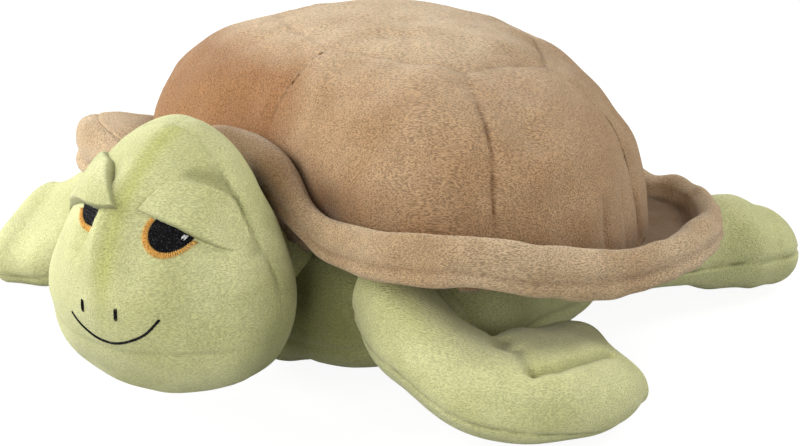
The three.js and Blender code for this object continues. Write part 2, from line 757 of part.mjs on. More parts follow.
function head() {
  const wide = 2 * headHalfHeight;
  const box = (x0, y0, z0, x1, y1, z1) => boxSolid(
    new THREE.Vector3(x0, y0, z0), new THREE.Vector3(x1, y1, z1),
  );
  const half = seamGap / 2;
  const earSeam = box(-wide, headEarSeamY - half, -wide, wide, headEarSeamY + half, wide);
  const chinSeam = box(-wide, -wide, chinSeamHeight - half, wide, headEarSeamY, chinSeamHeight + half);
  const faceSeam = box(-half, -wide, chinSeamHeight, half, headEarSeamY, wide);
  const backSeam = box(-half, headEarSeamY, -wide, half, wide, wide);
  const seams = [chinSeam, faceSeam, backSeam].reduce((all, one) => all.add(one), earSeam);
  const socket = ballSolid(headLocal(neckCentre), neckRadius + neckSocketGap, neckColumns, neckRows);
  const skin = headForm(0).subtract(headForm(clothThickness)).subtract(socket);
  for (const panel of cutPieces(skin.subtract(seams), headPanels)) {
    const middle = middleOf(panel);
    const hand = middle.x > 0 ? 'left' : 'right';
    let name = `head_${hand}_${middle.y < headEarSeamY ? 'face' : 'back'}_panel`;
    if (middle.y < headEarSeamY && middle.z < chinSeamHeight) name = 'head_chin_panel';
    addMesh(headGroup, name, panel, greenPlush);
  }
  addMesh(headGroup, 'head_stuffing', headForm(clothThickness + layerGap).subtract(socket), filling);
  eyes(1, 'left');
  eyes(-1, 'right');
  const mouth = faceLayer(threadLift, threadHeight).intersect(facePrism(mouthOutline()));
  addMesh(headGroup, 'mouth', mouth, blackThread);
}

torso();
shell();
rim();
neck();
head();
flippers.forEach(([name, course, tipReach]) => flipper(name, course, tipReach));

export default turtle;
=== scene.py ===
import math

import bmesh
import bpy
import numpy as np
from mathutils import Matrix, Vector
from mathutils.bvhtree import BVHTree
from mathutils.kdtree import KDTree


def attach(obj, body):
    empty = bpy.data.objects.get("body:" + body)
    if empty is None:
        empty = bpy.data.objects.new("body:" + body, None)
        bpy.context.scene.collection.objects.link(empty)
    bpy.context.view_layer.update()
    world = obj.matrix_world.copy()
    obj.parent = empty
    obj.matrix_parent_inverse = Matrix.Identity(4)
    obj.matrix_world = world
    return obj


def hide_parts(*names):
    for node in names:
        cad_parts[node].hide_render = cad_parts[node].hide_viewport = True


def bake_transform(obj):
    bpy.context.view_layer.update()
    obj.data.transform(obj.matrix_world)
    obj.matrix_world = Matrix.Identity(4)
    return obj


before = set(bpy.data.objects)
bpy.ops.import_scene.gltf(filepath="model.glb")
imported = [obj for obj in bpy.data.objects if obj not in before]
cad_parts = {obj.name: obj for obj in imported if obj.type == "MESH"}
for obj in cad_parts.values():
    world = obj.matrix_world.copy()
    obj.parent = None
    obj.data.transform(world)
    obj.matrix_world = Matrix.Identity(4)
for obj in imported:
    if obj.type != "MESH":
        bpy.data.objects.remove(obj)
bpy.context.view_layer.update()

# Camera, floor and light. The toy lies on a white table and is seen from its
# front left, a metre away and a little above. Wide lamps and a pale room light
# it softly, and the floor keeps its shadow.
scene = bpy.context.scene
scene.view_settings.view_transform = "Standard"

view_turn, view_rise = math.radians(50), math.radians(19)
view_target = Vector((0, 0, 0.05))
toward_camera = Vector((
    math.sin(view_turn) * math.cos(view_rise),
    -math.cos(view_turn) * math.cos(view_rise),
    math.sin(view_rise),
))
camera = bpy.data.objects.new("camera", bpy.data.cameras.new("camera"))
camera.location = view_target + toward_camera
camera.rotation_euler = toward_camera.to_track_quat("Z", "Y").to_euler()
camera.data.sensor_width = 36
camera.data.lens = 110.25
camera.data.shift_y = -0.01
scene.collection.objects.link(camera)
scene.camera = camera


def soft_lamp(name, place, size, power):
    lamp = bpy.data.objects.new(name, bpy.data.lights.new(name, "AREA"))
    lamp.data.size = size
    lamp.data.energy = power
    lamp.location = place
    lamp.rotation_euler = (Vector(place) - view_target).to_track_quat("Z", "Y").to_euler()
    scene.collection.objects.link(lamp)


soft_lamp("key_lamp", (-0.7, -1.15, 1.05), 0.6, 14.5)
soft_lamp("left_lamp", (-1.25, -0.45, 0.45), 0.6, 15.0)
soft_lamp("front_lamp", (0.45, -1.2, 0.6), 0.8, 9.5)
soft_lamp("rear_lamp", (0.3, 1.1, 1.2), 0.8, 17.0)
soft_lamp("right_lamp", (1.25, 0.2, 0.5), 0.8, 4.5)


def wire(material, kind, inputs, **settings):
    """A shader node, with its settings, its values and what feeds it"""
    node = material.node_tree.nodes.new(kind)
    for key, value in settings.items():
        setattr(node, key, value)
    for key, value in inputs.items():
        if isinstance(value, bpy.types.NodeSocket):
            material.node_tree.links.new(value, node.inputs[key])
        else:
            node.inputs[key].default_value = value
    return node


def seen_by(material, *rays):
    """1 for the kinds of ray that are named, 0 for any other"""
    path = wire(material, "ShaderNodeLightPath", {})
    seen = path.outputs[rays[0]]
    for ray in rays[1:]:
        either = wire(material, "ShaderNodeMath", {0: seen, 1: path.outputs[ray]}, operation="MAXIMUM")
        seen = either.outputs[0]
    return seen


room_glow, table_glow, table_lift = 0.05, 1.33, 0.7

room = bpy.data.worlds.new("room")
room.use_nodes = True
scene.world = room
room_strength = wire(room, "ShaderNodeMapRange", {
    "Value": seen_by(room, "Is Camera Ray", "Is Glossy Ray"), "To Min": room_glow, "To Max": 1.0,
})
room_light = room.node_tree.nodes["Background"]
room_light.inputs["Color"].default_value = (1, 1, 1, 1)
room.node_tree.links.new(room_strength.outputs[0], room_light.inputs["Strength"])

table_paint = bpy.data.materials.new("white_table")
table_paint.use_nodes = True
table_surface = table_paint.node_tree.nodes["Principled BSDF"]
table_surface.inputs["Base Color"].default_value = (0.45, 0.45, 0.44, 1)
table_surface.inputs["Roughness"].default_value = 0.8
table_share = wire(table_paint, "ShaderNodeMath", {
    0: seen_by(table_paint, "Is Camera Ray", "Is Glossy Ray", "Is Transmission Ray"), 1: table_lift,
}, operation="MULTIPLY")
table_white = wire(table_paint, "ShaderNodeEmission", {"Color": (1, 1, 1, 1), "Strength": table_glow})
table_shown = wire(table_paint, "ShaderNodeMixShader", {
    0: table_share.outputs[0], 1: table_surface.outputs[0], 2: table_white.outputs[0],
})
table_paint.node_tree.links.new(
    table_shown.outputs[0], table_paint.node_tree.nodes["Material Output"].inputs["Surface"],
)


def mesh_from(form, name):
    mesh = bpy.data.meshes.new(name)
    form.to_mesh(mesh)
    form.free()
    return mesh


table_form = bmesh.new()
bmesh.ops.create_grid(table_form, x_segments=1, y_segments=1, size=4)
table_mesh = mesh_from(table_form, "table_top")
table_mesh.materials.append(table_paint)
table_top = bpy.data.objects.new("table_top", table_mesh)
scene.collection.objects.link(table_top)

# Torso: a pillow of green plush over loose filling, flat where it lies on the
# table. A belly panel and a side band are sewn together low on its side, and
# its back goes up under the shell.
torso_half_width, torso_front_reach, torso_rear_reach = 0.070, 0.083, 0.094
torso_half_height, torso_middle, body_centre = 0.034, 0.0335, 0.001
torso_fullness, torso_under_fullness = 2.4, 3
torso_seam_height, torso_sewn_height, torso_flat_height = 0.022, 0.05, 0.003
seat_middle, seat_power, seat_clearance = 0.051, 0.75, 0.003
shell_half_width, shell_front_reach, shell_rear_reach = 0.106, 0.074, 0.098
shell_front_fullness, shell_rear_fullness = 3.6, 1.85
rim_front_lip, rim_root_lift, rim_drop, rim_drop_turn = 0.100, 0.002, 0.009, -80
foot_shares = [0.82, 0.76, 0.63, 0.61, 0.63, 0.57, 0.51, 0.49, 0.475, 0.445, 0.41, 0.37, 0.345]


def signed_power(value, power):
    return np.sign(value) * np.abs(value) ** power


def plan_radius(angle, half_width, ahead, behind, front_fullness, rear_fullness):
    """Radius of an oval in plan, with its own fullness in front and behind"""
    front = np.cos(angle) > 0
    fullness = np.where(front, front_fullness, rear_fullness)
    along = (np.abs(np.cos(angle)) / np.where(front, ahead, behind)) ** fullness
    return (along + (np.abs(np.sin(angle)) / half_width) ** fullness) ** (-1 / fullness)


def between_points(a, b, c, d, part):
    """A part of the way from b to c, on the smooth curve through four points in a row"""
    return b + ((c - a + ((3 * (b - c) + d - a) * part + 2 * a - 5 * b + 4 * c - d) * part) * part) / 2


def round_body(table, angle):
    """A value between the entries of a table that runs from the front to the rear"""
    turned = np.abs(np.arctan2(np.sin(angle), np.cos(angle)))
    place = turned / math.pi * (len(table) - 1)
    start = np.minimum(place.astype(int), len(table) - 2)
    around = np.concatenate([table[1:2], table, table[-2:-1]])
    return between_points(*(around[start + i] for i in range(4)), place - start)


def bulge(angle, turn):
    """1 in one direction round the body, and falling off to both sides of it"""
    return np.maximum(np.cos(angle - math.radians(turn)), 0) ** 6


def rim_height(shares, angle):
    """Height of the rim's lip or foot, from its shares of the front lip's height"""
    return rim_front_lip * round_body(shares, angle) - rim_drop * bulge(angle, rim_drop_turn)


def seat_height(angle, share):
    """Underside of the shell: a low arch that opens over the neck"""
    root = rim_height(foot_shares, angle) + rim_root_lift
    return seat_middle + (root - seat_middle) * np.minimum(share, 1) ** seat_power


def torso_radius(angle):
    return plan_radius(
        angle, torso_half_width, torso_front_reach, torso_rear_reach, torso_fullness, torso_fullness,
    )


def shell_radius(angle):
    return plan_radius(
        angle, shell_half_width, shell_front_reach, shell_rear_reach,
        shell_front_fullness, shell_rear_fullness,
    )


def body_points(angle, radius, height):
    return np.stack([radius * np.sin(angle), body_centre - radius * np.cos(angle), height], axis=1)


def ball(cuts):
    """A ball of radius 1 of even quads, without poles"""
    form = bmesh.new()
    bmesh.ops.create_cube(form, size=2)
    bmesh.ops.subdivide_edges(form, edges=form.edges, cuts=cuts, use_grid_fill=True)
    mesh = mesh_from(form, "form")
    points = np.tan(points_of(mesh) * math.pi / 4)
    move_points(mesh, points / np.linalg.norm(points, axis=1)[:, None])
    return mesh


def points_of(mesh):
    flat = np.empty(len(mesh.vertices) * 3)
    mesh.vertices.foreach_get("co", flat)
    return flat.reshape(-1, 3)


def normals_of(mesh):
    flat = np.empty(len(mesh.vertices) * 3)
    mesh.vertices.foreach_get("normal", flat)
    return flat.reshape(-1, 3)


def move_points(mesh, points):
    mesh.vertices.foreach_set("co", points.astype(np.float32).ravel())
    mesh.update()


def turns_of(mesh):
    """The angles of a ball's points: round it from the front, and up"""
    unit = points_of(mesh)
    return np.arctan2(unit[:, 0], -unit[:, 1]), np.arcsin(np.clip(unit[:, 2], -1, 1))


def lumps(points, size, seed, waves=14):
    """Soft unevenness between about -1 and 1, with lumps of a size"""
    chance = np.random.default_rng(seed)
    ways = chance.normal(size=(waves, 3))
    ways *= (chance.uniform(0.6, 1.5, waves) * math.pi / size / np.linalg.norm(ways, axis=1))[:, None]
    return np.sin(points @ ways.T + chance.uniform(0, 2 * math.pi, waves)).sum(axis=1) / 5


def dent(distance, width):
    """1 in the middle, falling off softly over a width"""
    return np.exp(-(distance / width) ** 2)


def push(mesh, amount):
    """Moves each point along its normal"""
    move_points(mesh, points_of(mesh) + normals_of(mesh) * amount[:, None])


cloth_pressure, cloth_steps, cloth_neighbours = 4, 20, 7


def stuffed(mesh, held, slack, limit, fineness=0.0045):
    """Presses the form out like cloth over filling, where nothing holds it, by no more than the limit.
    The cloth is larger than the form by the slack, so it wrinkles between its seams."""
    blank = bpy.data.objects.new("blank", mesh.copy())
    scene.collection.objects.link(blank)
    grid = blank.modifiers.new("grid", "REMESH")
    grid.mode, grid.voxel_size = "VOXEL", fineness
    blank.data = bpy.data.meshes.new_from_object(blank.evaluated_get(bpy.context.evaluated_depsgraph_get()))
    blank.modifiers.clear()
    start = points_of(blank.data)
    sewn = blank.vertex_groups.new(name="sewn")
    for i, weight in enumerate(held(start)):
        if weight > 0.02:
            sewn.add([i], min(float(weight), 1.0), "REPLACE")
    cloth = blank.modifiers.new("cloth", "CLOTH")
    cloth.settings.use_pressure = True
    cloth.settings.uniform_pressure_force = cloth_pressure
    cloth.settings.shrink_min = -slack
    cloth.settings.vertex_group_mass = "sewn"
    cloth.settings.effector_weights.gravity = 0
    cloth.point_cache.frame_start, cloth.point_cache.frame_end = 1, cloth_steps
    for number in range(1, cloth_steps + 1):
        scene.frame_set(number)
    pressed = bpy.data.meshes.new_from_object(blank.evaluated_get(bpy.context.evaluated_depsgraph_get()))
    moved = points_of(pressed) - start
    bpy.data.objects.remove(blank)
    scene.frame_set(1)
    moved *= np.minimum(1, limit / np.maximum(np.linalg.norm(moved, axis=1), 1e-9))[:, None]
    near = KDTree(len(start))
    for i, point in enumerate(start):
        near.insert(point, i)
    near.balance()
    points = points_of(mesh)
    for i, point in enumerate(points):
        found = near.find_n(point, cloth_neighbours)
        weights = np.array([math.exp(-(reach / fineness) ** 2) for _, _, reach in found]) + 1e-9
        points[i] += weights @ moved[[index for _, index, _ in found]] / weights.sum()
    move_points(mesh, points)


def nudged(mesh, moves):
    """Moves soft parts of a piece bodily: each has its place, how far round it the cloth goes along,
    and the way it goes"""
    points = points_of(mesh)
    shares = [
        dent(np.linalg.norm(points - place, axis=1), reach)[:, None] * way
        for place, reach, way in moves
    ]
    move_points(mesh, points + sum(shares))


nap_way, nap_draw = (0.665, 0.735, -0.114), 0.62


def lying(points, way):
    """Places drawn together along the way the pile lies, so that its tufts are long that way"""
    way = np.array(way) / np.linalg.norm(way)
    return points - nap_draw * (points @ way)[:, None] * way


def mark(mesh, painted_shade=0.0, parted=0.0, nap=None):
    """Keeps for the cloth's colour how much painted shade it gets, in seams, folds and places that lie in
    shadow, how far its pile is parted, and the places that its pile is drawn from"""
    ones = np.ones(len(mesh.vertices))
    for name, share in (("painted_shade", painted_shade), ("parted", parted)):
        attribute = mesh.attributes.new(name, "FLOAT", "POINT")
        attribute.data.foreach_set("value", np.clip(share * ones, 0, 1).astype(np.float32))
    if nap is None:
        nap = lying(points_of(mesh), nap_way)
    attribute = mesh.attributes.new("nap", "FLOAT_VECTOR", "POINT")
    attribute.data.foreach_set("vector", nap.astype(np.float32).ravel())


def colour(code):
    """A colour as it looks on a screen, as light"""
    shares = [int(code[i:i + 2], 16) / 255 for i in (1, 3, 5)]
    return [s / 12.92 if s <= 0.04045 else ((s + 0.055) / 1.055) ** 2.4 for s in shares] + [1.0]


def plush(name, pale, deep, painted_shade, root, dim, bright):
    """Short-pile cloth: brushed patches and fine tufts that lie one way, darkened by painted shade in
    seams, folds and shadowed places
    """
    material = bpy.data.materials.new(name)
    material.use_nodes = True
    place = wire(material, "ShaderNodeTexCoord", {})
    nap = wire(material, "ShaderNodeAttribute", {}, attribute_name="nap")
    patches = wire(material, "ShaderNodeTexNoise", {
        "Vector": place.outputs["Object"], "Scale": 38.0, "Detail": 3.0, "Roughness": 0.55,
    })
    drift = wire(material, "ShaderNodeTexNoise", {
        "Vector": place.outputs["Object"], "Scale": 60.0, "Detail": 1.0,
    })
    bent = wire(material, "ShaderNodeVectorMath", {
        0: drift.outputs["Color"], 1: (0.005, 0.005, 0.005), 2: nap.outputs["Vector"],
    }, operation="MULTIPLY_ADD")
    tufts = wire(material, "ShaderNodeTexNoise", {
        "Vector": bent.outputs[0], "Scale": 2300.0, "Detail": 0.5, "Roughness": 0.5,
    })
    brushed = wire(material, "ShaderNodeMapRange", {
        "Value": patches.outputs["Fac"], "From Min": 0.35, "From Max": 0.65, "To Min": 0.0, "To Max": 0.5,
    })
    body = wire(material, "ShaderNodeMix", {
        "Factor": brushed.outputs[0], "A": colour(pale), "B": colour(deep),
    }, data_type="RGBA")
    parted = wire(material, "ShaderNodeAttribute", {}, attribute_name="parted")
    dyed = wire(material, "ShaderNodeMix", {
        "Factor": parted.outputs["Fac"], "A": body.outputs["Result"], "B": colour(root),
    }, data_type="RGBA")
    fleck = wire(material, "ShaderNodeMapRange", {
        "Value": tufts.outputs["Fac"], "From Min": 0.34, "From Max": 0.62, "To Min": dim, "To Max": bright,
    })
    flecked = wire(material, "ShaderNodeVectorMath", {
        0: dyed.outputs["Result"], "Scale": fleck.outputs[0],
    }, operation="SCALE")
    # Painted shade: the marked places are mixed toward a deep shade colour.
    sewn = wire(material, "ShaderNodeAttribute", {}, attribute_name="painted_shade")
    shaded = wire(material, "ShaderNodeMix", {
        "Factor": sewn.outputs["Fac"], "A": flecked.outputs[0], "B": colour(painted_shade),
    }, data_type="RGBA")
    bump = wire(material, "ShaderNodeBump", {
        "Height": tufts.outputs["Fac"], "Strength": 0.8, "Distance": 0.0008,
    })
    shader = material.node_tree.nodes["Principled BSDF"]
    shader.inputs["Roughness"].default_value = 0.95
    shader.inputs["Specular IOR Level"].default_value = 0.1
    shader.inputs["Sheen Weight"].default_value = 0.35
    shader.inputs["Sheen Roughness"].default_value = 0.4
    shader.inputs["Sheen Tint"].default_value = (0.9, 0.9, 0.8, 1)
    material.node_tree.links.new(shaded.outputs["Result"], shader.inputs["Base Color"])
    material.node_tree.links.new(bump.outputs[0], shader.inputs["Normal"])
    return material


def finished(name, mesh, material, body, slot, *nodes):
    """A piece with its cloth on, in place of the CAD nodes that it stands for"""
    mesh.name = name
    mesh.materials.append(material)
    mesh.polygons.foreach_set("use_smooth", [True] * len(mesh.polygons))
    piece = bpy.data.objects.new(name, mesh)
    scene.collection.objects.link(piece)
    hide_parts(*nodes)
    if body:
        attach(piece, body)
    return piece


# The fourth colour is the painted shade that seams, folds and shadowed places are darkened toward.
green_plush = plush("green_plush", "#dadaa2", "#bdbe7c", "#4c4c0c", "#c0c468", 0.80, 1.08)

torso_mesh = ball(60)
turn, lift = turns_of(torso_mesh)
power = 2 / np.where(lift < 0, torso_under_fullness, torso_fullness)
spread = np.cos(lift) ** power
height = torso_middle + torso_half_height * signed_power(np.sin(lift), power)
move_points(torso_mesh, body_points(turn, torso_radius(turn) * spread, height))


def torso_held(points):
    """The seam, the part under the shell and the part that lies on the table"""
    ends = (points[:, 2] > torso_sewn_height) | (points[:, 2] < torso_flat_height)
    return np.maximum(dent(points[:, 2] - torso_seam_height, 0.004), ends)


stuffed(torso_mesh, torso_held, slack=0.01, limit=0.002)
seam = np.abs(height - torso_seam_height)
here = points_of(torso_mesh)
uneven = 0.0009 * lumps(here, 0.03, 1)
armpit = dent(np.linalg.norm(here - (0.071, -0.009, 0.031), axis=1), 0.017)
push(torso_mesh, uneven - 0.0007 * dent(seam, 0.0018) + 0.008 * armpit)
nudged(torso_mesh, [
    ((0.034, -0.040, 0.004), 0.022, (0, 0, 0.0065)),
    ((-0.004, -0.058, 0.002), 0.014, (0.0055, -0.0046, 0)),
])
here = points_of(torso_mesh)
share = np.hypot(here[:, 0], here[:, 1] - body_centre) / shell_radius(turn)
here[:, 2] = np.maximum(np.minimum(here[:, 2], seat_height(turn, share) - seat_clearance), 0)
move_points(torso_mesh, here)
# Painted shadow on the torso's front beside the head, where the head shades it, and painted shade along the
# side seam.
by_head = (points_of(torso_mesh) - (0.045, -0.072, 0.035)) / (0.045, 0.03, 0.05)
under_head = dent(np.linalg.norm(by_head, axis=1), 1)
mark(torso_mesh, painted_shade=np.maximum(0.3 * dent(seam, 0.0012), 0.75 * under_head))
torso = finished(
    "torso", torso_mesh, green_plush, "torso", "green_plush",
    "belly_panel", "torso_side_panel", "torso_stuffing",
)

# Shell: a dome of seven brown plush panels over filling: a six-sided crown and
# six panels round it. Each seam pulls in between its panels, and the dome is
# sewn to the torso and the rim along its foot.
shell_top, shell_waist, shell_tilt, shell_fullness = 0.133, 0.052, 0.11, 2.55
crown_line = [
    (0.004, -0.040), (0.028, -0.034), (0.046, -0.027), (0.0585, -0.0175), (0.0585, 0.003), (0.0575, 0.026),
    (0.031, 0.047), (0.002, 0.060), (-0.030, 0.047), (-0.0575, 0.026), (-0.0585, 0.003), (-0.0585, -0.0175),
    (-0.044, -0.027), (-0.024, -0.035), (0.004, -0.040),
]
radial_lines = [
    [(0.004, -0.040), (0.003, -0.056), (0.0, -0.066), (0.002, -0.080)],
    [(0.0585, -0.0175), (0.080, -0.027), (0.090, -0.031), (0.098, -0.037), (0.106, -0.042)],
    [(-0.0585, -0.0175), (-0.080, -0.027), (-0.090, -0.031), (-0.098, -0.037), (-0.106, -0.042)],
    [(0.0575, 0.026), (0.082, 0.043), (0.104, 0.060)],
    [(-0.0575, 0.026), (-0.082, 0.043), (-0.104, 0.060)],
    [(0.002, 0.060), (0.0, 0.108)],
]
shell_seams = [crown_line, *radial_lines]
shell_held_foot = 0.062


def nearest_on(points, line):
    """The nearest place to each point on a line of straight stretches, and how far off it is"""
    line = np.array(line, float)
    places = points[:, :line.shape[1]]
    best, gap = places.copy(), np.full(len(points), np.inf)
    for start, end in zip(line[:-1], line[1:]):
        run = end - start
        share = np.clip(((places - start) @ run) / (run @ run), 0, 1)
        spots = start + share[:, None] * run
        reach = np.linalg.norm(places - spots, axis=1)
        nearer = reach < gap
        best[nearer], gap[nearer] = spots[nearer], reach[nearer]
    return best, gap


def line_distance(points, line):
    return nearest_on(points, line)[1]


def drawn_to(mesh, lines, reach, loose):
    """Slides the loose points next to a seam along the cloth onto it, so that it shows as a clean line"""
    points, normals = points_of(mesh), normals_of(mesh)
    slide, nearest = np.zeros_like(points), np.full(len(points), reach)
    for line in lines:
        spots, gap = nearest_on(points, line)
        near = loose & (gap < nearest)
        slide[near, :2], nearest[near] = (spots - points[:, :2])[near], gap[near]
    move_points(mesh, points + slide - (slide * normals).sum(axis=1)[:, None] * normals)


def ramp(value, start, end):
    """0 up to the start, 1 from the end on, and rising evenly between them"""
    return np.clip((value - start) / (end - start), 0, 1)


def carved(mesh, lines, part=1):
    """Presses folds and dimples into a part of the cloth: each has its line, width and depth. Gives
    painted shade where they are pressed in, for the cloth's colour."""
    points = points_of(mesh)
    deep = np.zeros(len(points))
    dark = np.zeros(len(points))
    for line, width, depth in lines:
        share = dent(line_distance(points, line), width) * part
        deep += depth * share
        # Painted shade: darker the deeper a fold is pressed in.
        dark = np.maximum(dark, share ** 3 * min(abs(depth) / 0.004, 1) * (depth > 0))
    push(mesh, -deep)
    return dark


# The fourth colour is the painted shade that seams, folds and shadowed places are darkened toward.
brown_plush = plush("brown_plush", "#ccb18e", "#a8845c", "#5a3719", "#a2764f", 0.64, 1.20)

shell_mesh = ball(120)
turn, lift = turns_of(shell_mesh)
wall = shell_radius(turn)
rise = np.maximum(np.sin(lift), 0) ** (2 / shell_fullness)
spread = np.where(lift > 0, np.cos(lift) ** (2 / shell_fullness), 1)
tilt = shell_tilt * wall * np.cos(turn) * spread ** 2
top = shell_waist + (shell_top - shell_waist) * rise + tilt
below = np.clip(-lift / (math.pi / 2), 0, 1)
skirt, inward = ramp(below, 0, 0.2), ramp(below, 0.2, 1)
foot = seat_height(turn, 1.0)
side = top + (foot - top) * skirt
height = np.where(lift >= 0, top, np.where(inward > 0, seat_height(turn, 1 - inward), side))
move_points(shell_mesh, body_points(turn, wall * spread * (1 - inward), height))
outside = inward == 0


def shell_seam(points):
    """Distance in plan to the nearest of the shell's seams"""
    return np.minimum.reduce([line_distance(points, line) for line in shell_seams])


def shell_held(points):
    """The seams, and the foot that is sewn to the torso and the rim"""
    return np.maximum(dent(shell_seam(points), 0.006), points[:, 2] < shell_held_foot)


stuffed(shell_mesh, shell_held, slack=0.01, limit=0.002, fineness=0.006)
drawn_to(shell_mesh, shell_seams, 0.0009, outside)
plan = points_of(shell_mesh)
x, y, z = plan.T
seam = np.where(outside, shell_seam(plan), 1.0)
puckers = 0.0004 * lumps(plan, 0.007, 21) * dent(seam, 0.006)
uneven = 0.0010 * lumps(plan, 0.032, 2) + 0.0004 * lumps(plan, 0.012, 3)
sewn_in = 0.0008 * dent(seam, 0.0018) * np.clip(np.abs(x) / 0.02, 0.4, 1)
push(shell_mesh, outside * (uneven + puckers - sewn_in))
nudged(shell_mesh, [
    ((0.004, 0.030, 0.131), 0.030, (0, 0, -0.003)),
    ((0.042, 0.045, 0.119), 0.026, (-0.0005, -0.0005, -0.003)),
    ((-0.069, -0.063, 0.094), 0.022, (-0.0021, -0.0025, 0)),
])
folds = carved(shell_mesh, [
    ([(0.007, -0.003, 0.133), (0.020, -0.012, 0.132), (0.031, -0.022, 0.131)], 0.003, 0.0008),
    ([(0.102, 0.014, 0.079), (0.104, 0.016, 0.061)], 0.0025, 0.0012),
    ([(0.097, 0.031, 0.077), (0.100, 0.032, 0.055)], 0.0022, 0.0010),
    ([(0.089, 0.047, 0.070), (0.092, 0.045, 0.050)], 0.0025, 0.0012),
])
front_gores = ramp(y, -0.020, -0.040) * ramp(z, 0.130, 0.118) * ramp(x, 0.030, 0)
below_crown = ramp(z, 0.131, 0.121)
# Painted shade: round the dome's foot where it meets the rim, deepest at the front left junction, and in
# the pressed-in folds.
foot_shade = outside * dent(z - seat_height(turn, 1.0), 0.011 + 0.014 * bulge(turn, 35))
junction = dent(np.linalg.norm((plan - (0.040, -0.071, 0.080)) / (0.024, 0.014, 0.013), axis=1), 1)
# Painted shade: thin broken dark lines in the grooves of the seams and darts, fainter at the top and along
# the middle.
darts = [(-0.030, -0.024), (-0.034, -0.033), (-0.040, -0.045)]
dark_line = np.maximum(dent(seam, 0.0007), 0.7 * outside * dent(line_distance(plan, darts), 0.0006))
dark_line *= np.clip(0.75 + 0.5 * lumps(plan, 0.003, 22), 0.3, 1)
dark_line *= np.maximum(ramp(z, 0.128, 0.118), 0.4) * np.clip(np.abs(x) / 0.02, 0.55, 1)
mark(
    shell_mesh, parted=outside * np.maximum(front_gores, 0.4 * below_crown),
    painted_shade=np.maximum.reduce([0.75 * dark_line, 0.4 * folds, 0.55 * foot_shade, 0.8 * junction]),
)
shell = finished(
    "shell", shell_mesh, brown_plush, "torso", "brown_plush", "shell_crown_panel", "shell_stuffing",
    *[f"shell_{hand}_{part}_panel" for hand in ("left", "right") for part in ("front", "side", "rear")],
)

# Rim: a padded flange of the same brown plush round the shell's foot. An upper
# and a lower strip are sewn together along the outer face, with wadding between,
# and the edge turns up. Over the neck it stands higher.
rim_half_width, rim_front_reach, rim_rear_reach = 0.126, 0.084, 0.136
rim_front_fullness, rim_rear_fullness = 3.6, 2
rim_floor, rim_lip, rim_seam_share, rim_clearance = 0.001, 0.008, 0.38, 0.0028
shell_gap, gutter_wall, foot_sag, foot_sag_turn = 0.0008, 0.0035, 0.0035, 106
corner_turn, corner_flare, corner_pad_rise = -62, 0.019, 0.0012
lip_shares = [1, 0.975, 0.8, 0.81, 0.84, 0.76, 0.68, 0.64, 0.6, 0.565, 0.53, 0.5, 0.48]
rim_columns, rim_rows = 480, 96


def rim_radius(turn):
    """The rim's outer edge, pulled outward at the right front corner"""
    return corner_flare * bulge(turn, corner_turn) + plan_radius(
        turn, rim_half_width, rim_front_reach, rim_rear_reach, rim_front_fullness, rim_rear_fullness,
    )


def corner_pad(turn):
    """How far the gutter behind the lip is filled, round the right front corner"""
    return np.minimum(2.6 * bulge(turn, corner_turn) ** 0.5, 1)


def rim_lines(turn):
    """The rim's section at each angle, from the shell's wall over the lip and round to the torso"""
    outer = rim_radius(turn)
    lip, foot = rim_height(lip_shares, turn), rim_height(foot_shares, turn)
    root = foot + rim_root_lift
    foot = foot - foot_sag * bulge(turn, foot_sag_turn) ** 2
    wall = shell_radius(turn)
    waist = shell_waist + shell_tilt * wall * np.cos(turn)
    up = ramp(root, waist, shell_top)
    inner = wall * (1 - up ** shell_fullness) ** (1 / shell_fullness) + shell_gap
    inside = outer - rim_lip - gutter_wall
    gutter = inside - 0.002
    seam = foot + rim_seam_share * (lip - foot)
    floor = root + rim_floor
    floor += (lip + corner_pad_rise - floor) * corner_pad(turn)
    meets = np.zeros(len(turn))
    for part in np.linspace(0, 1, 101):
        reach = np.minimum(part * wall / torso_radius(turn), 1)
        crest = torso_middle + torso_half_height * (1 - reach ** torso_fullness) ** (1 / torso_fullness)
        meets = np.where(crest > seat_height(turn, part) - rim_clearance, part, meets)
    ends = [inner / wall + (meets + 0.02 - inner / wall) * part for part in (0, 0.5, 1)]
    under = [(part * wall, seat_height(turn, part) - rim_clearance) for part in ends]
    corners = [
        (inner, floor), (gutter, floor), (inside, floor + 0.65 * (lip - floor)),
        (outer - rim_lip * 0.7, lip), (outer - 0.001, lip - rim_lip / 2), (outer + 0.0003, seam),
        (outer, foot + 0.0022), (outer - 0.007, foot), *under,
        (under[2][0] - 0.001, under[2][1] + 0.0025), (inner - 0.004, root + 0.002),
    ]
    return np.array(corners).transpose(2, 0, 1)


def rounded_loops(corners, count):
    """Evenly spaced points on smooth closed lines through the corners, one line for each angle"""
    before, after, far = (np.roll(corners, step, 1) for step in (1, -1, -2))
    fine = [
        between_points(before, corners, after, far, part)
        for part in np.linspace(0, 1, 16, endpoint=False)
    ]
    fine = np.stack(fine, axis=2).reshape(len(corners), -1, 2)
    closed = np.concatenate([fine, fine[:, :1]], axis=1)
    length = np.cumsum(np.linalg.norm(np.diff(closed, axis=1), axis=2), axis=1)
    length = np.concatenate([np.zeros((len(corners), 1)), length], axis=1)
    shares = np.linspace(0, 1, count, endpoint=False)
    mean = (length / length[:, -1:]).mean(axis=0)
    places = np.interp(shares, mean, np.arange(len(mean)))
    start = places.astype(int)
    part = (places - start)[None, :, None]
    return closed[:, start] * (1 - part) + closed[:, start + 1] * part


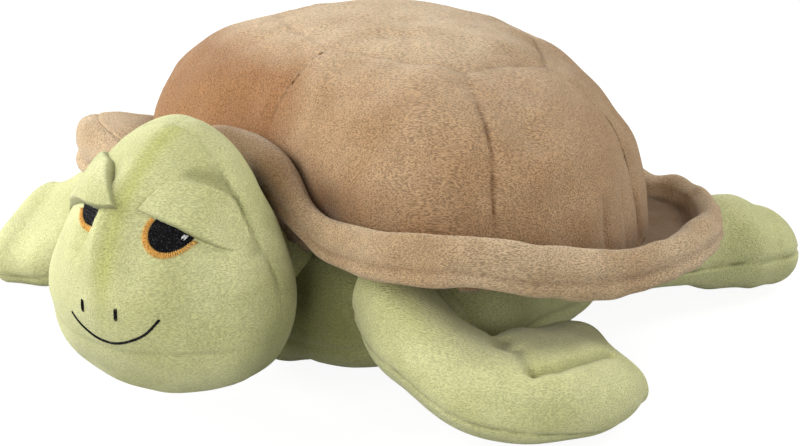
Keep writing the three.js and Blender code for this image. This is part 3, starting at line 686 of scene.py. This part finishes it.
rim_form = bmesh.new()
bmesh.ops.create_grid(rim_form, x_segments=rim_columns, y_segments=rim_rows, size=1)
rim_mesh = mesh_from(rim_form, "rim")
flat = points_of(rim_mesh)
turns = np.linspace(-math.pi, math.pi, rim_columns + 1)
column = np.rint((flat[:, 0] + 1) / 2 * rim_columns).astype(int)
row = np.rint((flat[:, 1] + 1) / 2 * rim_rows).astype(int)
section = rounded_loops(rim_lines(turns), rim_rows)[column, row % rim_rows]
move_points(rim_mesh, body_points(turns[column], section[:, 0], section[:, 1]))
rim_form = bmesh.new()
rim_form.from_mesh(rim_mesh)
bmesh.ops.remove_doubles(rim_form, verts=rim_form.verts, dist=0.00001)
bmesh.ops.recalc_face_normals(rim_form, faces=rim_form.faces)
rim_form.to_mesh(rim_mesh)
rim_form.free()
places = points_of(rim_mesh)
x, y, z = places.T
turn, radius = np.arctan2(x, body_centre - y), np.hypot(x, y - body_centre)
outer, lip, foot = rim_radius(turn), rim_height(lip_shares, turn), rim_height(foot_shares, turn)
seam = np.hypot(z - (foot + rim_seam_share * (lip - foot)), radius - outer)
nudged(rim_mesh, [((0.013, 0.129, 0.049), 0.015, (0.001, -0.0008, -0.0040))])
uneven = 0.0010 * lumps(places, 0.028, 4) + 0.0005 * lumps(places, 0.011, 5)
push(rim_mesh, uneven - (0.0008 + 0.002 * bulge(turn, corner_turn)) * dent(seam, 0.0018))
# Painted shade: in the gutter behind the lip, where the dome shades it, on the front face beside the head,
# where the head shades it, and along the seam.
gutter = ramp(outer - radius, 0.0105, 0.0145) * ramp(lip - z, 0.002, 0.008) * (1 - corner_pad(turn))
by_head = ramp(y, -0.068, -0.080) * ramp(x, 0.050, 0.030) * ramp(x, -0.03, -0.01)
mark(
    rim_mesh, painted_shade=np.maximum.reduce([0.3 * dent(seam, 0.0009), 0.75 * gutter, 0.6 * by_head]),
    nap=np.stack([1.25 * radius, 1.25 * z, 0.045 * np.abs(turn)], axis=1),
)
rim = finished(
    "rim", rim_mesh, brown_plush, "torso", "brown_plush",
    "rim_upper_panel", "rim_lower_panel", "rim_wadding",
)

# Neck: a short cloth tube with a little filling, sewn between the torso and the
# head.
neck_centre, neck_radius = np.array([0, -0.068, 0.046]), 0.0262
neck_mesh = ball(22)
move_points(neck_mesh, points_of(neck_mesh) * neck_radius + neck_centre)
push(neck_mesh, 0.0005 * lumps(points_of(neck_mesh), 0.012, 6))
mark(neck_mesh)
neck = finished("neck", neck_mesh, green_plush, "neck", "green_plush", "neck_band", "neck_stuffing")

# Head: an egg of five green plush panels over filling, wider at the jaw and
# turned to the turtle's left. One seam runs down the face, one over the crown
# behind the eyes, one under the jaw and one down the back.
head_half_width, head_front_reach, head_rear_reach, head_half_height = 0.045, 0.055, 0.030, 0.053
head_taper, head_power, head_top_power = 0.36, 2 / 1.9, 2 / 2.2
ear_seam, chin_seam, face_middle = -0.006, -0.019, 0.002
ridge_edge, ridge_slope, ridge_top = -0.0040, 0.25, 0.033
head_frame = Matrix.Translation((0.0046, -0.1125, 0.062)) @ (
    Matrix.Rotation(math.radians(22), 4, "Z") @ Matrix.Rotation(math.radians(3), 4, "X")
    @ Matrix.Rotation(math.radians(5), 4, "Y")
)

head_mesh = ball(88)
turn, lift = turns_of(head_mesh)
rise = signed_power(np.sin(lift), head_power)
spread = np.cos(lift) ** np.where(lift > 0, head_top_power, head_power)
reach = np.where(np.cos(turn) > 0, head_front_reach, head_rear_reach)
head_points = np.stack([
    head_half_width * (1 - head_taper * rise) * spread * signed_power(np.sin(turn), head_power),
    -reach * spread * signed_power(np.cos(turn), head_power),
    head_half_height * rise,
], axis=1)
move_points(head_mesh, head_points)


def head_seam(points):
    """Distance to the nearest of the head's seams"""
    x, y, z = points.T
    front = y < ear_seam
    return np.minimum.reduce([
        np.abs(y - ear_seam), np.where(front, np.abs(z - chin_seam), 1), np.where(front, 1, np.abs(x)),
    ])


def solid_of(mesh):
    """A copy of the form to find places on"""
    form = bmesh.new()
    form.from_mesh(mesh)
    solid = BVHTree.FromBMesh(form)
    form.free()
    return solid


stuffed(head_mesh, lambda points: dent(head_seam(points), 0.004), slack=0.01, limit=0.003)
egg = solid_of(head_mesh)
x, y, z = head_points.T
front = y < ear_seam
seam = head_seam(head_points)
ridge_side = ridge_edge - ridge_slope * np.maximum(ridge_top - z, 0)
across = ramp(x, 0.0015, -0.0025) * ramp(x - ridge_side, -0.0011, 0)
crest = front * across * ramp(z, 0.008, 0.020) * ramp(z, 0.044, 0.036)
nose = front * dent(x + 0.001, 0.006) * ramp(z, -0.012, 0.018)
valley = front * dent(x - 0.0026, 0.0034) * ramp(z, -0.016, 0.014)
socket = front * dent(np.abs(x - face_middle) - 0.009, 0.006) * dent(z - 0.026, 0.018)
lid_border = [
    (0.016, 0.0425), (0.022, 0.0390), (0.028, 0.0325), (0.0335, 0.0250), (0.037, 0.0190), (0.0395, 0.0130),
]
by_ear = np.abs(y - ear_seam) < seam + 1e-6
held_in = np.where(by_ear, 0.15 + 0.85 * dent(z - 0.003, 0.010), 0.25)
crown, nape, cheek = (
    dent(np.linalg.norm(head_points - place, axis=1), reach) for place, reach in (
        ((-0.018, -0.006, 0.044), 0.016), ((0.002, 0.009, 0.051), 0.013), ((0.042, -0.010, -0.014), 0.022),
    )
)
uneven = 0.0006 * lumps(head_points, 0.024, 7) + 0.0003 * lumps(head_points, 0.010, 8)
filling = uneven + 0.0021 * crown - 0.0008 * nape + 0.0030 * cheek
shaping = 0.0024 * crest + 0.0012 * nose - 0.0006 * valley - 0.0018 * socket
push(head_mesh, filling + shaping - 0.0009 * held_in * dent(seam, 0.0016))
lid_fold = dent(line_distance(head_points[:, [0, 2]], lid_border), 0.0018) * front
push(head_mesh, -0.0010 * lid_fold)
# Painted shade: the lower back of the head on the turtle's left, away from the lamps, the crease along the
# lid's border, and the seams.
behind = ramp(x + 0.6 * (y - ear_seam), 0.026, 0.042) * ramp(z, 0.030, 0)
mark(
    head_mesh, parted=0.55 * valley,
    painted_shade=np.maximum.reduce([0.7 * held_in * dent(seam, 0.0009), 0.38 * behind, 0.4 * lid_fold ** 2]),
)
face = solid_of(head_mesh)
head_mesh.transform(head_frame)
head = finished(
    "head", head_mesh, green_plush, "head", "green_plush", "head_chin_panel", "head_stuffing",
    *[f"head_{hand}_{part}_panel" for hand in ("left", "right") for part in ("face", "back")],
)

# Eyelids: a half-moon of the same green plush sewn over each eye. Its lower
# edge is loose and stands off over the eye, its upper edge is sewn down flat.
# The outlines run across and up the face, in millimetres.
lids = {
    1: {
        "upper": [
            (8, 34), (9.5, 37.5), (12, 41), (16, 41), (20, 39), (24, 36), (28, 31.5), (32, 25.5),
            (35.5, 19.5), (38.5, 13.5),
        ],
        "lower": [
            (8, 34), (11, 32.9), (14.5, 31.2), (18.5, 28.9), (22, 26.6), (26, 23.6), (30, 20.4), (33, 18),
            (36, 15.4), (38.5, 13.5),
        ],
    },
    -1: {
        "upper": [
            (1.5, 33.3), (-2, 37.2), (-6, 40.5), (-11, 42.5), (-16, 41.5), (-22, 38.5), (-27, 33),
            (-31, 27), (-33, 21.5), (-34, 16),
        ],
        "lower": [
            (1.5, 33.3), (-2.5, 31.9), (-7, 31.2), (-12, 30.3), (-17, 28.8), (-21, 26.8), (-25, 24.4),
            (-29, 21.8), (-32, 19), (-34, 16),
        ],
    },
}
lid_root, near_lid_thickness, far_lid_thickness, far_lid_ridge = 0.0004, 0.0030, 0.0028, 0.0046


def on_face(x, z, form=face):
    """The place on the face seen straight from the front, and the way out of it"""
    ray = Vector((x, -0.2, z)), Vector((0, 1, 0))
    return np.array(form.ray_cast(*ray)[0]), np.array(egg.ray_cast(*ray)[1])


def along_line(line, share):
    """A point on a smooth line through the points given"""
    line = np.array(line, float)
    place = min(max(share, 0), 1) * (len(line) - 1)
    start = min(int(place), len(line) - 2)
    b, c = line[start], line[start + 1]
    a = line[start - 1] if start else 2 * b - c
    d = line[start + 2] if start + 2 < len(line) else 2 * c - b
    return between_points(a, b, c, d, place - start)


for side, hand in (("left", 1), ("right", -1)):
    lid_form = bmesh.new()
    bmesh.ops.create_grid(lid_form, x_segments=70, y_segments=34, size=1)
    border = []
    for vert in lid_form.verts:
        across, along = (vert.co.y + 1) / 2, (vert.co.x + 1) / 2
        low, high = along_line(lids[hand]["lower"], along), along_line(lids[hand]["upper"], along)
        spot = (low + (high - low) * across) * 0.001
        place, outward = on_face(spot[0], spot[1], egg)
        edge = min(across / 0.1, (1 - across) / 0.08, (1 - along) / 0.15, 1)
        rounded = (1 - (1 - edge) ** 2.2) ** 0.5
        if hand > 0:
            thick = near_lid_thickness * (0.15 + 0.85 * min(along / 0.5, 1))
            thick *= min((1 - along) / 0.5, 1) ** 0.8
            shaded = ramp(along, 0.15, 0.45)
        else:
            ridge = far_lid_ridge * ramp(spot[1], 0.046, 0.038)
            thick = (ridge + far_lid_thickness - 0.0012 * across) * min((1 - along) / 0.7, 1)
            shaded = 1
        vert.co = Vector(place + outward * (thick * rounded - lid_root))
        # Painted shade: a dark line round the lid's edge, where it stands off the face. On the near lid it
        # fades out toward the inner end.
        border.append(0.7 * (1 - min(edge * 1.5, 1)) * shaded)
    if hand < 0:
        bmesh.ops.reverse_faces(lid_form, faces=lid_form.faces)
    bmesh.ops.recalc_face_normals(lid_form, faces=lid_form.faces)
    lid_mesh = mesh_from(lid_form, "lid")
    mark(lid_mesh, painted_shade=np.array(border))
    lid_mesh.transform(head_frame)
    finished(f"{side}_eyelid", lid_mesh, green_plush, "head", "green_plush", f"{side}_eyelid")

# Embroidery: eyes, nostrils and mouth in satin thread, worked through the face
# before the head was sewn. Each stitch is a short rounded length of thread.
eye_centre, eye_slant = np.array([0.0176, 0.0265]), math.radians(-29.5)
eye_half_chord, eye_depth, eye_band = 0.009, 0.0079, 0.0021
far_inset, far_rise, far_slant = 0.0068, 0.0045, math.radians(7)
thread_width, ridge_clearance, nostril_middle, mouth_steps = 0.0006, 0.0006, 0.001, 44


def thread(name, pale, deep, gloss, low, high):
    """Twisted satin thread: a soft gloss, a fine twist in its height, and specks in its colour, which on
    the black thread are painted highlights
    """
    material = bpy.data.materials.new(name)
    material.use_nodes = True
    place = wire(material, "ShaderNodeTexCoord", {})
    fluff = wire(material, "ShaderNodeTexNoise", {
        "Vector": place.outputs["Object"], "Scale": 1600.0, "Detail": 2.0, "Roughness": 0.6,
    })
    ply = wire(material, "ShaderNodeTexWave", {
        "Vector": place.outputs["Object"], "Scale": 900.0, "Distortion": 1.5, "Detail": 1.0,
    }, bands_direction="DIAGONAL")
    speck = wire(material, "ShaderNodeMapRange", {
        "Value": fluff.outputs["Fac"], "From Min": low, "From Max": high,
    })
    tone = wire(material, "ShaderNodeMix", {
        "Factor": speck.outputs[0], "A": colour(deep), "B": colour(pale),
    }, data_type="RGBA")
    bump = wire(material, "ShaderNodeBump", {
        "Height": ply.outputs["Fac"], "Strength": 0.3, "Distance": 0.0002,
    })
    shader = material.node_tree.nodes["Principled BSDF"]
    shader.inputs["Roughness"].default_value = 0.42
    shader.inputs["Specular IOR Level"].default_value = gloss
    material.node_tree.links.new(tone.outputs["Result"], shader.inputs["Base Color"])
    material.node_tree.links.new(bump.outputs[0], shader.inputs["Normal"])
    return material


def stitched(name, stitches, material, slot, node):
    """A motif of stitches, each given by its two ends on the face, its width and its height"""
    form = bmesh.new()
    bmesh.ops.create_uvsphere(form, u_segments=8, v_segments=6, radius=1)
    single = bpy.data.meshes.new("stitch")
    form.to_mesh(single)
    unit = points_of(single)
    for _ in stitches[1:]:
        form.from_mesh(single)
    mesh = mesh_from(form, name)
    points = []
    for start, end, width, height in stitches:
        (low, out_low), (high, out_high) = on_face(*start), on_face(*end)
        outward = out_low + out_high
        outward /= np.linalg.norm(outward)
        run = high - low
        side = np.cross(outward, run)
        side /= np.linalg.norm(side)
        points.append(unit @ np.array([side * width / 2, outward * height, run / 2]) + (low + high) / 2)
    move_points(mesh, np.concatenate(points))
    mesh.transform(head_frame)
    return finished(name, mesh, material, "head", slot, node)


orange_thread = thread("orange_thread", "#eebb62", "#a8651a", 0.3, 0.3, 0.55)
# Painted highlights: the black thread's pale grey specks stand for glints off its glossy stitches.
black_thread = thread("black_thread", "#77777f", "#050506", 0.08, 0.58, 0.8)
white_thread = thread("white_thread", "#ffffff", "#dcdcd8", 0.5, 0.3, 0.6)


def clear_of_ridge(stitch):
    """Whether both ends of a stitch lie beside the nose's ridge, and not in its fold"""
    inmost = max(x + ridge_slope * max(ridge_top - z, 0) for x, z in stitch[:2])
    return inmost < ridge_edge - ridge_clearance


def on_eye(hand, along, up):
    """A place near the eye, from the middle of its straight edge"""
    slant = eye_slant if hand > 0 else eye_slant + far_slant
    across = eye_centre[0] + along * math.cos(slant) - up * math.sin(slant)
    height = eye_centre[1] + along * math.sin(slant) + up * math.cos(slant)
    if hand < 0:
        across, height = across - far_inset, height + far_rise
    return face_middle + hand * across, height


for side, hand in (("left", 1), ("right", -1)):
    ring, fill_in, inner = [], [], (eye_half_chord - eye_band, eye_depth - eye_band)
    for turned in np.linspace(0, -math.pi, 42):
        outer_end = (eye_half_chord * math.cos(turned), eye_depth * math.sin(turned))
        inner_end = (inner[0] * math.cos(turned) * 0.98, inner[1] * math.sin(turned) * 0.98)
        ring.append((on_eye(hand, *outer_end), on_eye(hand, *inner_end), 0.00072, 0.0009))
    for number, up in enumerate(np.arange(0.0016, -inner[1], -0.00042)):
        half = inner[0] * math.sqrt(max(1 - (max(-up, 0) / inner[1]) ** 2, 0)) * 1.02
        for start in np.arange(-half, half, 0.0012):
            span = start, min(start + 0.0026, half)
            if span[1] - span[0] > 0.0008:
                ends = on_eye(hand, span[0], up), on_eye(hand, span[1], up)
                fill_in.append((*ends, 2 * thread_width, 0.00042))
        for start in np.arange(-half - 0.0011 * (number % 3), half, 0.0028):
            span = max(start, -half), min(start + 0.0031, half)
            if span[1] - span[0] > 0.0006:
                ends = on_eye(hand, span[0], up), on_eye(hand, span[1], up)
                fill_in.append((*ends, thread_width, 0.00065))
    glint_start = 0.0038 if hand > 0 else 0.0002
    glint = []
    for i in range(4):
        along = glint_start + 0.0004 * i
        ends = on_eye(hand, along, 0.0012), on_eye(hand, along, -0.0001 - 0.0003 * (i % 2))
        glint.append((*ends, 0.00045, 0.0011))
    if hand < 0:
        ring, fill_in, glint = (list(filter(clear_of_ridge, part)) for part in (ring, fill_in, glint))
    stitched(f"{side}_iris", ring, orange_thread, "orange_thread", f"{side}_iris")
    stitched(f"{side}_pupil", fill_in, black_thread, "black_thread", f"{side}_pupil")
    stitched(f"{side}_eye_glint", glint, white_thread, "white_thread", f"{side}_eye_glint")
    nostril = []
    for i in (-1, 0, 1):
        across = nostril_middle + hand * (0.007 + 0.00045 * i)
        nostril.append(((across, 0.0004), (across, -0.0052), thread_width, 0.0006))
    stitched(f"{side}_nostril", nostril, black_thread, "black_thread", f"{side}_nostril")

mouth_line = [
    (-0.0125, -0.0075), (-0.010, -0.0100), (-0.007, -0.0125), (-0.003, -0.0148), (0.001, -0.0158),
    (0.006, -0.0157), (0.012, -0.0133), (0.018, -0.0092), (0.0225, -0.003),
]
mouth_stitches = []
for number in range(mouth_steps):
    start, end = (along_line(mouth_line, (number + ahead) / mouth_steps) for ahead in (0, 1.7))
    swell = 0.0005 + 0.0007 * min(number / 14, 1)
    mouth_stitches.append((tuple(start), tuple(end), swell, 0.0006))
stitched("mouth", mouth_stitches, black_thread, "black_thread", "mouth")

# Flippers: flat pillows of green plush, an upper and a lower panel sewn together
# round the edge. Each root is sewn into the torso's side, where it folds.
flipper_fullness, root_end, tip_start = 2.3, 0.1, 0.86
root_reach, seam_depth = 0.03, 0.017


def on_course(points, share):
    """A point of the smooth line through the flipper's stations"""
    place = share * (len(points) - 1)
    start = min(int(place), len(points) - 2)
    part = place - start
    b, c = points[start], points[start + 1]
    a = points[start - 1] if start else 2 * b - c
    d = points[start + 2] if start + 2 < len(points) else 2 * c - b
    first, middle, last = (np.linalg.norm(q - p) ** 0.5 for p, q in ((a, b), (b, c), (c, d)))
    leave = ((b - a) / first - (c - a) / (first + middle) + (c - b) / middle) * middle
    arrive = ((c - b) / middle - (d - b) / (middle + last) + (d - c) / last) * middle
    return (b + leave * part + (3 * (c - b) - 2 * leave - arrive) * part ** 2
            + (2 * (b - c) + leave + arrive) * part ** 3)


def between(table, share):
    """A value between the entries of a table that runs from the root to the end"""
    place = share * (len(table) - 1)
    start = min(int(place), len(table) - 2)
    part = place - start
    return table[start] + (table[start + 1] - table[start]) * part * part * (3 - 2 * part)


def root_of(hand, hinge, turned, **form):
    """Where a flipper is sewn in, and the way that it leaves the torso"""
    return (
        np.array([hand * hinge[0], hinge[1], hinge[2]]),
        np.array([hand * math.cos(turned), math.sin(turned), 0]),
    )


def flipper_mesh(hand, hinge, turned, reach, tip, path, widths, width, depths, depth, rests, leans):
    """A pillow along the flipper's course, round about the hinge line at its root. Gives its mesh, and for
    each point the angle round the flipper and the place along it."""
    root, outward = root_of(hand, hinge, turned)
    stations = [
        root + np.array([hand * a * reach, b * reach, root[2] * (rest - 1)])
        for (a, b), rest in zip(path, rests)
    ]
    shares = np.linspace(0, 1, 121)
    centres = np.array([on_course(stations, share) for share in shares])
    headings = np.gradient(centres, axis=0) * (1, 1, 0)
    headings /= np.linalg.norm(headings, axis=1)[:, None]
    ease = np.minimum(shares * 6, 1)[:, None]
    headings = outward * (1 - ease) + headings * ease
    headings /= np.linalg.norm(headings, axis=1)[:, None]
    sizes = [[
        between(widths, share) * width, between(depths, share) * depth,
        hand * math.radians(between(leans, share)),
    ] for share in shares]
    course = np.concatenate([centres, headings, sizes], axis=1)
    mesh = ball(65)
    unit = points_of(mesh)
    angle = np.arctan2(unit[:, 1], unit[:, 0])
    place = np.arcsin(np.clip(unit[:, 2], -1, 1)) / math.pi + 0.5
    share = ramp(place, root_end, tip_start)
    ahead = ramp(place, tip_start, 1) * math.pi / 2
    swing = ramp(place, root_end, 0) * math.pi / 2
    here = np.stack([np.interp(share, shares, column) for column in course.T], axis=1)
    heading, lean = here[:, 3:6], here[:, 8]
    flat = np.stack([-heading[:, 1] * np.cos(lean), heading[:, 0] * np.cos(lean), np.sin(lean)], axis=1)
    up = np.stack([heading[:, 1] * np.sin(lean), -heading[:, 0] * np.sin(lean), np.cos(lean)], axis=1)
    closing = np.cos(ahead) ** (2 / flipper_fullness)
    rooted = np.cos(swing * 0.97) ** 0.7
    along = here[:, 6] * closing * rooted * signed_power(np.cos(angle), 2 / flipper_fullness)
    across = here[:, 7] * closing * signed_power(np.sin(angle), 2 / flipper_fullness)
    points = here[:, :3] + heading * (tip * np.sin(ahead))[:, None] + along[:, None] * flat
    points += (across * np.cos(swing))[:, None] * up - (np.abs(across) * np.sin(swing))[:, None] * outward
    move_points(mesh, points)
    return mesh, angle, place


front_form = {
    "hinge": (0.064, -0.048, 0.034), "turned": math.radians(-12), "reach": 0.110, "tip": 0.014,
    "widths": [0.72, 0.72, 0.8, 0.98, 0.88], "width": 0.032,
    "depths": [1, 1, 1, 1, 0.85], "depth": 0.0175,
}
left_front_form = {
    **front_form, "path": [(0, 0), (0.16, -0.05), (0.36, 0.03), (0.43, 0.26), (0.4, 0.48)],
    "rests": [1, 0.86, 0.62, 0.55, 0.5], "leans": [-34, -30, -12, 0, 0],
}
right_front_form = {
    **front_form, "path": [(0, 0), (0.23, -0.04), (0.48, -0.1), (0.7, -0.18), (0.87, -0.26)],
    "rests": [1, 0.94, 0.82, 0.7, 0.57], "leans": [0, 8, 24, 32, 30],
}
rear_form = {
    "hinge": (0.046, 0.088, 0.020), "turned": math.radians(76), "reach": 0.085, "tip": 0.016,
    "path": [(0, 0), (0.02, 0.2), (0.05, 0.42), (0.1, 0.62), (0.15, 0.77)],
    "widths": [0.9, 0.95, 1, 1, 0.84], "width": 0.022,
    "depths": [0.82, 0.88, 1.05, 1.05, 0.9], "depth": 0.017,
    "rests": [1, 1, 0.98, 0.95, 0.88], "leans": [0, 0, 0, 0, 0],
}
left_front_creases = [
    ([(0.1287, -0.0447), (0.1322, -0.0352), (0.1306, -0.0184), (0.1277, -0.0026)], 0.0022, 0.0030),
    ([(0.1152, -0.0394), (0.1220, -0.0431), (0.1287, -0.0447)], 0.0030, 0.0016),
    ([(0.1031, -0.0352), (0.1111, -0.0430)], 0.0036, 0.0024),
    ([(0.0713, -0.0401), (0.0777, -0.0382), (0.0819, -0.0343)], 0.0040, 0.0024),
]
left_front_nudges = [
    ((0.123, 0.018, 0.027), 0.018, (-0.0062, -0.0074, -0.002)),
    ((0.060, -0.062, 0.048), 0.018, (-0.0032, -0.0024, 0.0085)),
    ((0.128, -0.050, 0.004), 0.028, (0.0050, -0.0042, 0)),
]
right_front_nudges = [((-0.158, -0.080, 0.034), 0.026, (0.0048, 0.0020, -0.0066))]
left_rear_nudges, right_rear_nudges = ([
    ((hand * 0.067, 0.160, 0.026), 0.012, (hand * -0.0014, -0.0018, 0)),
    ((hand * 0.044, 0.142, 0.034), 0.016, (0, 0, 0.0030)),
] for hand in (1, -1))
flippers = [
    ("left_front_flipper", 1, left_front_form, left_front_nudges, left_front_creases, 0.55),
    ("right_front_flipper", -1, right_front_form, right_front_nudges, [], 0),
    ("left_rear_flipper", 1, rear_form, left_rear_nudges, [], 0),
    ("right_rear_flipper", -1, rear_form, right_rear_nudges, [], 0),
]
for number, (name, hand, form, nudges, creases, seam_rise) in enumerate(flippers):
    mesh, angle, place = flipper_mesh(hand, **form)
    if form is rear_form:
        points = points_of(mesh)
        hollow = np.clip(-np.sin(angle), 0, 1) ** 0.5 * np.clip(1 - place / 0.7, 0, 1)
        crown = np.clip(np.sin(angle), 0, 1) * dent(place - 0.5, 0.25)
        points[:, 2] += 0.008 * hollow + 0.003 * crown
        move_points(mesh, points)
    root, outward = root_of(hand, **form)
    stuffed(
        mesh, lambda points: dent(np.linalg.norm(points - root, axis=1), root_reach),
        slack=0.015, limit=0.0015, fineness=0.005,
    )
    nudged(mesh, nudges)
    points = points_of(mesh)
    seam = np.abs(np.sin(angle) + seam_rise) * seam_depth
    push(mesh, 0.0007 * lumps(points, 0.02, 10 + number) - 0.0007 * dent(seam, 0.0012))
    folds = carved(mesh, creases, np.sin(angle) > 0)
    points = points_of(mesh)
    points[:, 2] = np.maximum(points[:, 2], 0)
    move_points(mesh, points)
    # Painted shade: a broken dark line in the edge seam's groove, and in the pressed-in folds.
    dark_line = dent(seam, 0.0006) * np.clip(0.5 + 0.5 * lumps(points, 0.005, 30 + number), 0.1, 1)
    mark(mesh, painted_shade=np.maximum(0.6 * dark_line, 0.55 * folds))
    piece = finished(
        name, mesh, green_plush, None, "green_plush",
        f"{name}_upper_panel", f"{name}_lower_panel", f"{name}_stuffing",
    )
    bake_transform(piece)
